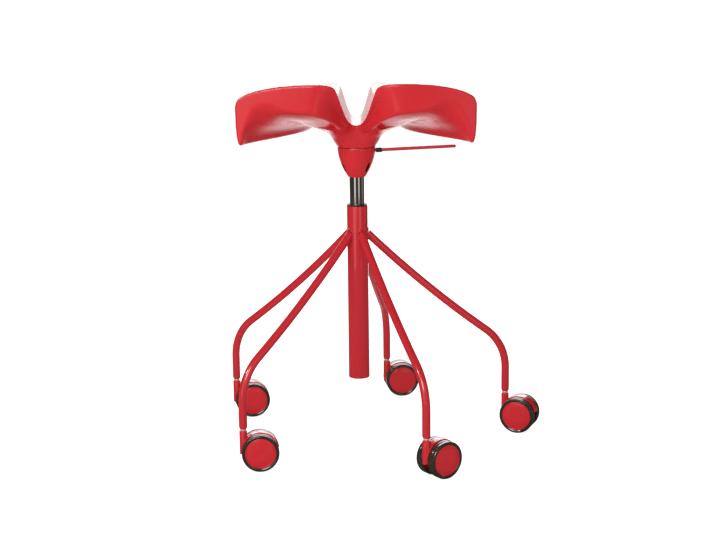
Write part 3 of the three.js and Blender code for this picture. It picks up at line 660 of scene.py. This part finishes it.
def build_saddle(sizes):
    """A wrapped grid gives the lobes, a turned neck gives the hub, and a fine skin joins both."""
    grid = saddle_grid(sizes)
    piece = start_piece("saddle_moulding", "grid", x_subdivisions=len(grid[0]) - 1,
                        y_subdivisions=len(grid) - 1, size=1)
    piece.data.vertices.foreach_set("co", [c for line in grid for point in line for c in point])
    piece.data.update()
    start_editing("VERT")
    bpy.ops.mesh.remove_doubles(threshold=0.2 * MM)
    end_editing()
    choose(piece, build_neck(sizes))
    bpy.ops.object.join()
    apply_modifier(piece, "REMESH", mode="VOXEL", voxel_size=sizes.voxel)
    apply_modifier(piece, "SMOOTH", factor=0.5, iterations=sizes.smoothing)
    return put(piece, AXIS_FOOT)


class STOOL_OT_saddle(bpy.types.Operator):
    """Models the moulded saddle with its two lobes, relief channel, flaps and hub"""

    bl_idname = "stool.saddle"
    bl_label = "Saddle"

    def execute(self, context):
        piece = build_saddle(context.scene.stool_saddle)
        dress(piece, "seat", "red_moulding", "moulded red skin", "saddle", sharp=math.pi)
        return {"FINISHED"}


# Bell cover

BELL_STEPS = 20
BELL_SLOTS = 3


class STOOL_OT_bell(bpy.types.Operator):
    """Turns the bell cover and cuts its three slots and the lever's slot"""

    bl_idname = "stool.bell"
    bl_label = "Bell Cover"

    def execute(self, context):
        sizes = context.scene.stool_column
        top, mouth, wall = BELL_HIGH.z, BELL_LOW.z, sizes.bell_wall
        mouth_radius = sizes.cylinder_radius + FIT
        drop = sizes.bell_top_radius - mouth_radius - wall
        shares = [k / BELL_STEPS for k in range(BELL_STEPS + 1)]

        def outline(share, inset=0.0):
            return sizes.bell_top_radius - drop * share ** 1.9 - inset, top - (top - mouth) * share

        outer = [outline(share) for share in reversed(shares)]
        inner = [outline(share, wall) for share in shares[:-2]]
        inner.append((mouth_radius, mouth + wall * 1.4))
        bell = turned_piece("bell_cover_shell", [(mouth_radius, mouth), *outer, *inner], 96, closed=True)

        # Each cut's size, corner radius, distance from the axis, height and angle
        slot, slot_corner, slot_reach, slot_height = (24 * MM, 9 * MM, 17 * MM), 3.45 * MM, 28 * MM, 19 * MM
        first_slot = math.radians(-37)
        cuts = [(slot, slot_corner, slot_reach, mouth + slot_height, first_slot + FULL_TURN * k / BELL_SLOTS)
                for k in range(BELL_SLOTS)]
        lever_slot, lever_corner, lever_drop = (16 * MM, 9 * MM, 14 * MM), 2.5 * MM, 4 * MM
        cuts.append((lever_slot, lever_corner, sizes.bell_top_radius, top - lever_drop, 0.0))
        for size, corner, reach, height, angle in cuts:
            cutter = rounded_block("slot_cutter", size, corner, "X")
            put(cutter, (reach * math.cos(angle), reach * math.sin(angle), height), (0, 0, angle))
            combine(bell, cutter, "DIFFERENCE")
        round_edges(bell, 0.5 * MM, 2)
        dress(put(bell, AXIS_FOOT), "seat", "red_moulding", "moulded red skin", "bell_cover")
        return {"FINISHED"}


# Column and gas spring

class STOOL_OT_column(bpy.types.Operator):
    """Turns the column tube, its guide bush and the gas spring's cylinder"""

    bl_idname = "stool.column"
    bl_label = "Column"

    def execute(self, context):
        sizes = context.scene.stool_column
        low, high, radius = COLUMN_LOW.z, COLUMN_HIGH.z, COLUMN_RADIUS
        bore = radius - sizes.wall
        tube = turned_piece("column_tube_skin", [
            (bore, low), (radius, low), (radius, high), (bore, high)], 96, closed=True)
        round_edges(tube, 0.7 * MM)
        dress(put(tube, AXIS_FOOT), "base", "red_paint", "painted red steel", "column_tube")

        bush_low, bush_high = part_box("guide_bush")
        inner, skirt = sizes.cylinder_radius + FIT, bore - FIT
        flange, seat = (bush_high.x - bush_low.x) / 2, high + FIT
        bush = turned_piece("guide_bush_ring", [
            (inner, bush_low.z), (skirt, bush_low.z), (skirt, seat), (flange, seat),
            (flange, bush_high.z), (inner, bush_high.z)], 96, closed=True)
        round_edges(bush, 0.6 * MM)
        dress(put(bush, AXIS_FOOT), "base", "black_plastic", "black plastic", "guide_bush")

        bottom, top = (corner.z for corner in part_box("gas_cylinder"))
        outer, wall = sizes.cylinder_radius, 1.8 * MM
        head, cone, taper = 43 * MM, 35 * MM, 0.8 * MM
        pin_radius, pin_depth = 3.3 * MM, 18 * MM
        cylinder = turned_piece("gas_cylinder_tube", [
            (outer - wall, top - head), (outer - wall, bottom), (outer, bottom), (outer, top - cone),
            (outer - taper, top), (pin_radius, top), (pin_radius, top - pin_depth)], 96)
        round_edges(cylinder, 0.5 * MM)
        dress(put(cylinder, AXIS_FOOT), "seat", "chrome_plate", "chrome plate", "gas_cylinder")
        return {"FINISHED"}


# Height lever

class STOOL_OT_lever(bpy.types.Operator):
    """Turns the height lever's rod and the black sleeve at its root"""

    bl_idname = "stool.lever"
    bl_label = "Height Lever"

    def execute(self, context):
        sizes = context.scene.stool_column
        radius, sleeve_wall, relief = sizes.lever_radius, 1 * MM, 0.2 * MM
        pivot = middle("lever_pivot_pin")
        lean = (0, math.pi / 2 - sizes.lever_slope, 0)
        # Places along the sloping rod, from its pivot
        tail, tip, start, end = (
            (corner.x - pivot.x) / math.cos(sizes.lever_slope)
            for corner in (*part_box("height_lever"), *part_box("lever_sleeve")))
        nose = [(radius * math.cos(a), tip - radius + radius * math.sin(a))
                for a in (math.radians(15 * k) for k in range(6))]
        # Slimmer inside the hub, where its tail turns between the ears and the top plate
        slim = radius - relief
        rod = turned_piece("height_lever_rod", [(slim, tail), (slim, start), (radius, start + MM), *nose], 40)
        round_edges(rod, 0.3 * MM)
        dress(put(rod, pivot, lean), "lever", "red_paint", "satin red steel", "height_lever")

        bore = radius + FIT
        outer = bore + sleeve_wall
        sleeve = turned_piece("lever_sleeve_tube", [
            (bore, start), (outer, start), (outer, end), (bore, end)], 40, closed=True)
        round_edges(sleeve, 0.35 * MM)
        dress(put(sleeve, pivot, lean), "lever", "black_plastic", "black plastic", "lever_sleeve")
        return {"FINISHED"}


# Legs

def stem_place(number):
    """Where a castor's stem stands, as seen from the column's axis: distance and angle."""
    spot = middle(f"castor_{number}_stem") - COLUMN_AXIS
    return math.hypot(spot.x, spot.y), math.atan2(spot.y, spot.x)


def build_leg(sizes, foot, distance):
    """A ring extruded up the foot, spun round the knee and spun again along the long sweep."""
    radius = sizes.radius
    lip, lip_round, throat, neck = 5.9 * MM, 0.5 * MM, 2 * MM, 4.6 * MM
    sunk = 1 * MM
    leg = turned_piece("leg_tube", [
        (lip, foot), (lip + lip_round, foot + lip_round), (mix(lip, radius, 0.75), foot + throat),
        (radius, foot + neck), (radius, sizes.knee_base)], 40)
    put(leg, (distance, 0, 0))
    start_editing("FACE", "DESELECT")
    shape = bmesh.from_edit_mesh(leg.data)
    for face in shape.faces:
        face.select_set(face.normal.z > 0.9 and face.calc_center_median().z > sizes.knee_base - radius)
    bmesh.update_edit_mesh(leg.data)
    knee = Vector((distance - sizes.knee_radius, 0, sizes.knee_base))
    bpy.ops.mesh.spin(steps=28, angle=sizes.knee_turn, center=knee, axis=(0, 1, 0))
    outward = Vector((math.cos(sizes.knee_turn), 0, math.sin(sizes.knee_turn)))
    sweep = knee + outward * (sizes.knee_radius + sizes.sweep_radius)
    heading = math.acos((sweep.x - (COLUMN_RADIUS - sunk)) / sizes.sweep_radius)
    bpy.ops.mesh.spin(steps=16, angle=heading - sizes.knee_turn, center=sweep, axis=(0, 1, 0))
    end_editing()
    top = sweep - Vector((math.cos(heading), 0, math.sin(heading))) * sizes.sweep_radius
    return leg, top, heading


def build_weld(sizes, top, heading):
    """A ring of weld whose every point is moved along the leg onto the column's skin."""
    ripple_height, ripple_count = 0.06, 23
    weld = start_piece("leg_weld", "torus", major_radius=sizes.radius, minor_radius=sizes.weld,
                       major_segments=64, minor_segments=12)
    # The leg runs along `along` towards the column; across and side span the ring
    along = Vector((-math.sin(heading), 0, math.cos(heading)))
    across = Vector((math.cos(heading), 0, math.sin(heading)))
    side = Vector((0, 1, 0))
    for vertex in weld.data.vertices:
        spot = vertex.co.copy()
        angle = math.atan2(spot.y, spot.x)
        outward = across * math.cos(angle) + side * math.sin(angle)
        start = top + outward * sizes.radius
        depth = math.sqrt(max(COLUMN_RADIUS * COLUMN_RADIUS - start.y * start.y, 0.0))
        shift = (depth - start.x) / along.x
        ripple = 1 + ripple_height * math.sin(angle * ripple_count)
        minor = math.hypot(spot.x, spot.y) - sizes.radius
        vertex.co = start + along * (shift + spot.z * ripple) + outward * minor * ripple
    weld.data.update()
    return weld


class STOOL_OT_legs(bpy.types.Operator):
    """Bends one leg with its weld and copies it to its five places"""

    bl_idname = "stool.legs"
    bl_label = "Legs"

    def execute(self, context):
        sizes = context.scene.stool_legs
        leg, top, heading = build_leg(sizes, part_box("leg_1")[0].z, stem_place(1)[0])
        weld = build_weld(sizes, top, heading)
        for number in range(1, LEG_COUNT + 1):
            turn = (0, 0, stem_place(number)[1])
            tube = put(copy_of(leg, f"leg_{number}_tube"), AXIS_FOOT, turn)
            dress(tube, "base", "red_paint", "painted red steel", f"leg_{number}")
            bead = put(copy_of(weld, f"leg_{number}_weld"), AXIS_FOOT, turn)
            dress(bead, "base", "red_paint", "painted red steel")
        bpy.data.objects.remove(leg)
        bpy.data.objects.remove(weld)
        return {"FINISHED"}


# Castors

# The disc's outer side: millimetres in from its edge, then out from its middle, and above its face
DISC_BEAD_MM = [(0, -0.6), (0.6, 0), (1.6, 0.2), (2.4, 0), (2.8, -0.45), (3.3, -0.1)]
DISC_DISH_MM = [(14, -0.35), (5, -0.4), (4, -0.7), (1.5, -0.75)]
TREAD_STEPS = 8
HOOD_START, HOOD_END = math.radians(12), math.radians(172)
HOOD_THICKNESS = 3.5 * MM


def build_wheel(sizes):
    """A disc and a tyre about the Z axis, inner side at height 0."""
    width, radius, edge = sizes.wheel_width, sizes.wheel_radius, sizes.disc_radius
    bore, bore_depth, boss = 4.3 * MM, 12.8 * MM, 11 * MM
    web, bevel, face = 6 * MM, 1 * MM, width - 1 * MM
    bead = [(edge - x * MM, face + z * MM) for x, z in DISC_BEAD_MM]
    dish = [(x * MM, face + z * MM) for x, z in DISC_DISH_MM]
    disc = turned_piece("wheel_disc", [
        (bore, bore_depth), (bore, 0.0), (boss, 0.0), (boss, web), (edge - bevel, web),
        (edge, web + bevel), *bead, *dish], 96)

    seat, lip, shoulder = edge + FIT, 1.2 * MM, 3 * MM
    groove, groove_top, groove_floor = 0.25 * MM, 0.5 * MM, 0.2 * MM
    half = [(seat, width - 1.4 * MM), (seat + lip, width - 0.7 * MM)]
    for k in range(TREAD_STEPS + 1):
        angle = math.pi / 2 * k / TREAD_STEPS
        half.append((radius - shoulder * (1 - math.sin(angle)), width - shoulder * (1 - math.cos(angle))))
    half += [(radius, width / 2 + groove_top), (radius - groove, width / 2 + groove_floor)]
    back = [(x, width - z) for x, z in reversed(half)]
    tyre = turned_piece("wheel_tyre", [*half, *back], 96, closed=True)
    return disc, tyre


def build_hood(sizes, axle, hood_radius):
    """A bar with rounded edges, spun round the axle over the wheels."""
    outward = Vector((math.cos(HOOD_START), 0, math.sin(HOOD_START)))
    forward = Vector((-math.sin(HOOD_START), 0, math.cos(HOOD_START)))
    hood = rounded_block("castor_housing", (HOOD_THICKNESS, sizes.housing_width, 0.2 * MM), 1.3 * MM, "Z")
    put(hood, axle + outward * (hood_radius - HOOD_THICKNESS / 2), (0, -HOOD_START, 0))
    start_editing("FACE", "DESELECT")
    shape = bmesh.from_edit_mesh(hood.data)
    for face in shape.faces:
        face.select_set(face.normal.dot(forward) > 0.9)
    bmesh.update_edit_mesh(hood.data)
    bpy.ops.mesh.spin(steps=40, angle=HOOD_END - HOOD_START, center=axle, axis=(0, 1, 0))
    bpy.ops.object.mode_set(mode="OBJECT")
    return hood


def build_web(axle, hood_radius):
    """The plate that fills the hood, with its lower corners at the neck, under the axle and behind it."""
    inner, half_width, arc_steps = hood_radius - HOOD_THICKNESS * 0.6, 3 * MM, 24
    corners = []
    for k in range(arc_steps + 1):
        angle = mix(HOOD_START, HOOD_END, k / arc_steps)
        corners.append(axle + Vector((inner * math.cos(angle), 0, inner * math.sin(angle))))
    corners += [Vector((3.6 * MM, 0, 30.3 * MM)), axle + Vector((0, 0, -7.7 * MM)),
                axle + Vector((8 * MM, 0, -4 * MM))]
    web = start_piece("web", "circle", vertices=len(corners), radius=inner)
    for vertex, corner in zip(web.data.vertices, corners):
        vertex.co = corner - Vector((0, half_width, 0))
    start_editing("FACE")
    bpy.ops.mesh.edge_face_add()
    bpy.ops.mesh.extrude_region_move(TRANSFORM_OT_translate={"value": (0, 2 * half_width, 0)})
    end_editing()
    return web


def build_housing(sizes, trail, top):
    """The hood, the web under it, the neck with its slanted lower end and the boss, as one moulding."""
    axle = Vector((trail, 0, sizes.wheel_radius))
    hood_radius = sizes.wheel_radius + sizes.hood_proud
    housing = build_hood(sizes, axle, hood_radius)
    web = build_web(axle, hood_radius)

    radius, foot, slant_height = sizes.neck_radius, 24 * MM, 31 * MM
    foot_inset, top_round, corner = 1.2 * MM, 1 * MM, 0.3 * MM
    neck = turned_piece("neck", [
        (radius - foot_inset, foot), (radius, foot), (radius, top - top_round),
        (radius - corner, top - corner), (radius - top_round, top)], 48)
    start_editing("EDGE")
    bpy.ops.mesh.bisect(plane_co=(0, 0, slant_height), plane_no=(0.35, 0, -1),
                        use_fill=True, clear_outer=True)
    bpy.ops.object.mode_set(mode="OBJECT")

    boss_radius, half_width = 8 * MM, sizes.housing_width / 2
    boss = turned_piece("boss", [(boss_radius, -half_width), (boss_radius, half_width)], 48)
    round_edges(boss, 0.6 * MM)
    put(boss, axle, (math.pi / 2, 0, 0))
    for part in (web, neck, boss):
        combine(housing, part, "UNION")
    return housing


def build_stem(low, high, top):
    """The stem with its bright collar, which rests just above the housing."""
    radius, chamfer = 4 * MM, 0.6 * MM
    collar, collar_radius, thickness = top + FIT, 5.5 * MM, 3 * MM
    return turned_piece("castor_stem", [
        (radius - chamfer, low), (radius, low + chamfer), (radius, collar),
        (collar_radius - 0.3 * MM, collar), (collar_radius, collar + 0.35 * MM),
        (collar_radius, collar + thickness - 0.5 * MM), (collar_radius - 0.4 * MM, collar + thickness),
        (radius, collar + thickness), (radius, high - chamfer), (radius - chamfer, high)], 48)


class STOOL_OT_castors(bpy.types.Operator):
    """Models one castor's housing, wheel and stem and copies them to the five castors"""

    bl_idname = "stool.castors"
    bl_label = "Castors"

    def execute(self, context):
        sizes = context.scene.stool_castors
        inner = sizes.housing_width / 2 + 0.8 * MM
        stem_low, stem_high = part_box("castor_1_stem")
        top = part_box("castor_1_housing")[1].z
        trail = (middle("castor_1_axle") - middle("castor_1_stem")).xy.length
        disc, tyre = build_wheel(sizes)
        housing = build_housing(sizes, trail, top)
        pin = build_stem(stem_low.z, stem_high.z, top)
        for number in range(1, LEG_COUNT + 1):
            body = f"castor_{number}"
            stem = middle(f"{body}_stem")
            axle = middle(f"{body}_axle")
            heading = math.atan2(axle.y - stem.y, axle.x - stem.x)
            spot, turn = (stem.x, stem.y, 0), (0, 0, heading)
            hood = put(copy_of(housing, f"{body}_hood"), spot, turn)
            dress(hood, body, "red_moulding", "glossy red moulding", f"{body}_housing")
            post = put(copy_of(pin, f"{body}_post"), spot, turn)
            dress(post, "base", "bright_zinc", "bright zinc", f"{body}_stem")
            for side, sign in (("left", 1), ("right", -1)):
                sideways = Vector((-math.sin(heading), math.cos(heading), 0)) * sign
                centre = Vector((axle.x, axle.y, sizes.wheel_radius)) + sideways * inner
                turn = (math.pi / 2, 0, heading + (math.pi if sign > 0 else 0))
                for source, part, slot, look in (
                        (disc, "wheel", "red_moulding", "moulded red skin"),
                        (tyre, "tyre", "tyre_black", "tyre")):
                    piece = put(copy_of(source, f"{body}_{side}_{part}_rim"), centre, turn)
                    dress(piece, f"{body}_{side}_roller", slot, look, f"{body}_{side}_{part}")
        for source in (disc, tyre, housing, pin):
            bpy.data.objects.remove(source)
        return {"FINISHED"}


# Inner parts

INNER_FINISHES = {
    "plain steel": [
        "column_foot_plate", "thrust_bearing", "piston_rod", "rod_clip", "release_pin",
        "seat_mechanism", "lever_pivot_pin", *(f"castor_{k}_axle" for k in range(1, LEG_COUNT + 1))],
    "black plastic": ["rod_bumper", "rod_gland"],
    "bright zinc": [f"plate_screw_{k}" for k in range(1, SCREW_COUNT + 1)],
}


class STOOL_OT_inner_parts(bpy.types.Operator):
    """Gives the mostly hidden inner parts their finishes"""

    bl_idname = "stool.inner_parts"
    bl_label = "Inner Parts"

    def execute(self, context):
        for look, nodes in INNER_FINISHES.items():
            for node in nodes:
                coat(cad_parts[node], look)
        return {"FINISHED"}


class STOOL_OT_finishes(bpy.types.Operator):
    """Makes the stool's materials"""

    bl_idname = "stool.finishes"
    bl_label = "Finishes"

    def execute(self, context):
        make_finishes(context.scene.stool_colours)
        return {"FINISHED"}


# Stage

# Azimuth and elevation in degrees as seen from the stool towards the camera, distance, width, height
# and radiance of each lamp
LAMPS = {
    "left panel": (-31, 10, 2.3, 1.05, 2.1, 0.74),
    "right panel": (30, 10, 2.4, 0.9, 2.1, 0.6),
    "side panel": (88, 10, 2.4, 0.6, 2.1, 0.25),
    "high left lamp": (-54, 30, 2.6, 0.3, 0.3, 38.0),
    "front lamp": (-15, 20, 1.9, 0.85, 0.7, 5.6),
    "back lamp": (180, 30, 2.6, 2.6, 2.2, 2.8),
}
LAMP_AIM = 0.5
FLOOR_SIZE = 60
WORLD_FILL = 0.34
WHITE = (1, 1, 1, 1)

CAMERA_DISTANCE, CAMERA_HEIGHT = 2.87295, 0.9273
CAMERA_TILT, CAMERA_ROLL = math.radians(78.163), math.radians(-0.7246)
LENS_MM, SENSOR_MM = 78.1, 36


def shown_light(tree, behind):
    """White for the camera, and for mirrors that look behind the stool; behind goes from 0 to 1."""
    paths = add_node(tree, "ShaderNodeLightPath").outputs
    mirror = worked_out(tree, "MAXIMUM", paths["Is Glossy Ray"], paths["Is Transmission Ray"])
    mirror = worked_out(tree, "MULTIPLY", mirror, behind)
    return worked_out(tree, "MAXIMUM", mirror, paths["Is Camera Ray"])


def make_backdrop():
    """A pale floor that shows white to the camera but keeps its shadows."""
    material = bpy.data.materials.new("studio floor")
    material.use_nodes = True
    tree = material.node_tree
    tree.nodes.clear()
    place = add_node(tree, "ShaderNodeTexCoord").outputs["Object"]
    split = add_node(tree, "ShaderNodeSeparateXYZ", [("Vector", place)]).outputs
    aside = worked_out(tree, "ABSOLUTE", split["X"])
    depth = worked_out(tree, "MULTIPLY_ADD", aside, -1.3, split["Y"])
    behind = share_between(tree, depth, -0.1, 1.1, interpolation_type="SMOOTHSTEP")
    tint = add_node(tree, "ShaderNodeMapRange", [
        ("Value", noise(tree, scale=40.0, detail=3.0)), ("To Min", 0.82), ("To Max", 0.86)])
    tone = add_node(tree, "ShaderNodeCombineColor", [
        (channel, tint.outputs["Result"]) for channel in range(3)])
    paper = add_node(tree, "ShaderNodeBsdfDiffuse", [("Color", tone.outputs["Color"])])
    # Mirrors that look ahead of the stool see the floor nearly black
    paths = add_node(tree, "ShaderNodeLightPath").outputs
    ahead = worked_out(tree, "SUBTRACT", 1.0, behind)
    dim = worked_out(tree, "MULTIPLY", worked_out(tree, "MULTIPLY", paths["Is Glossy Ray"], ahead), 0.92)
    dark = add_node(tree, "ShaderNodeBsdfDiffuse", [("Color", (0.02, 0.02, 0.02, 1))])
    paper = add_node(tree, "ShaderNodeMixShader", [(0, dim), (1, paper.outputs[0]), (2, dark.outputs[0])])
    share = worked_out(tree, "MULTIPLY", shown_light(tree, behind), 0.8)
    glow = add_node(tree, "ShaderNodeEmission", [("Color", WHITE), ("Strength", share)])
    both = add_node(tree, "ShaderNodeAddShader", [(0, paper.outputs[0]), (1, glow.outputs[0])])
    add_node(tree, "ShaderNodeOutputMaterial", [("Surface", both.outputs[0])])
    return material


def light_world(scene):
    """A white surround for the camera, with a weak fill for the stool."""
    world = scene.world or bpy.data.worlds.new("studio")
    scene.world = world
    world.use_nodes = True
    tree = world.node_tree
    tree.nodes.clear()
    place = add_node(tree, "ShaderNodeTexCoord").outputs["Generated"]
    split = add_node(tree, "ShaderNodeSeparateXYZ", [("Vector", place)]).outputs
    behind = share_between(tree, split["Y"], 0.82, 0.97, interpolation_type="SMOOTHSTEP")
    diffuse = add_node(tree, "ShaderNodeLightPath").outputs["Is Diffuse Ray"]
    fill = worked_out(tree, "MULTIPLY", diffuse, WORLD_FILL)
    strength = worked_out(tree, "MAXIMUM", shown_light(tree, behind), fill)
    sky = add_node(tree, "ShaderNodeBackground", [("Color", WHITE), ("Strength", strength)])
    add_node(tree, "ShaderNodeOutputWorld", [("Surface", sky.outputs[0])])


def soft_lamp(name, azimuth, elevation, distance, width, tall, radiance):
    """A soft box that faces the stool, placed by its angles as seen from the stool towards the camera."""
    light = bpy.data.lights.new(name, "AREA")
    light.shape = "RECTANGLE"
    light.size, light.size_y = width, tall
    light.energy = radiance * math.pi * width * tall
    lamp = bpy.data.objects.new(name, light)
    bpy.context.scene.collection.objects.link(lamp)
    side, up = math.radians(azimuth), math.radians(elevation)
    way = Vector((math.sin(side) * math.cos(up), -math.cos(side) * math.cos(up), math.sin(up)))
    lamp.location = AXIS_FOOT + Vector((0, 0, LAMP_AIM)) + way * distance
    lamp.rotation_euler = (-way).to_track_quat("-Z", "Y").to_euler()
    lamp.visible_camera = False


def place_camera(scene):
    """The camera that was fitted to the photograph, straight behind the stool's column."""
    lens = bpy.data.cameras.new("photo camera")
    lens.sensor_width = SENSOR_MM
    lens.lens = LENS_MM
    camera = bpy.data.objects.new("photo camera", lens)
    scene.collection.objects.link(camera)
    camera.location = AXIS_FOOT + Vector((0, -CAMERA_DISTANCE, CAMERA_HEIGHT))
    tilt = Matrix.Rotation(CAMERA_TILT, 3, "X") @ Matrix.Rotation(CAMERA_ROLL, 3, "Z")
    camera.rotation_euler = tilt.to_euler()
    scene.camera = camera


class STOOL_OT_stage(bpy.types.Operator):
    """Sets the floor, the soft studio light and the camera at the photograph's angle"""

    bl_idname = "stool.stage"
    bl_label = "Stage"

    def execute(self, context):
        scene = context.scene
        scene.view_settings.view_transform = "Standard"
        floor = start_piece("studio_floor", "plane", size=FLOOR_SIZE)
        floor.data.materials.append(make_backdrop())
        light_world(scene)
        for name, settings in LAMPS.items():
            soft_lamp(name, *settings)
        place_camera(scene)
        return {"FINISHED"}


# Panel and registration

STEPS = ["finishes", "saddle", "bell", "column", "lever", "legs", "castors", "inner_parts", "stage"]
GROUPS = {
    "stool_saddle": SaddleSizes, "stool_column": ColumnSizes, "stool_legs": LegSizes,
    "stool_castors": CastorSizes, "stool_colours": FinishColours,
}


class STOOL_PT_panel(bpy.types.Panel):
    """Lists the stool's steps"""

    bl_idname = "STOOL_PT_panel"
    bl_label = "Saddle Stool"
    bl_space_type = "VIEW_3D"
    bl_region_type = "UI"
    bl_category = "Stool"

    def draw(self, context):
        for step in STEPS:
            self.layout.operator(f"stool.{step}")
        for name, kind in GROUPS.items():
            box = self.layout.box()
            for size in kind.__annotations__:
                box.prop(getattr(context.scene, name), size)


CLASSES = [
    *GROUPS.values(),
    STOOL_OT_finishes, STOOL_OT_saddle, STOOL_OT_bell, STOOL_OT_column, STOOL_OT_lever,
    STOOL_OT_legs, STOOL_OT_castors, STOOL_OT_inner_parts, STOOL_OT_stage, STOOL_PT_panel,
]


def register():
    for entry in CLASSES:
        bpy.utils.register_class(entry)
    for name, kind in GROUPS.items():
        setattr(bpy.types.Scene, name, PointerProperty(type=kind))


def unregister():
    for name in GROUPS:
        delattr(bpy.types.Scene, name)
    for entry in reversed(CLASSES):
        bpy.utils.unregister_class(entry)


def main():
    register()
    for step in STEPS:
        getattr(bpy.ops.stool, step)()


if __name__ == "__main__":
    main()
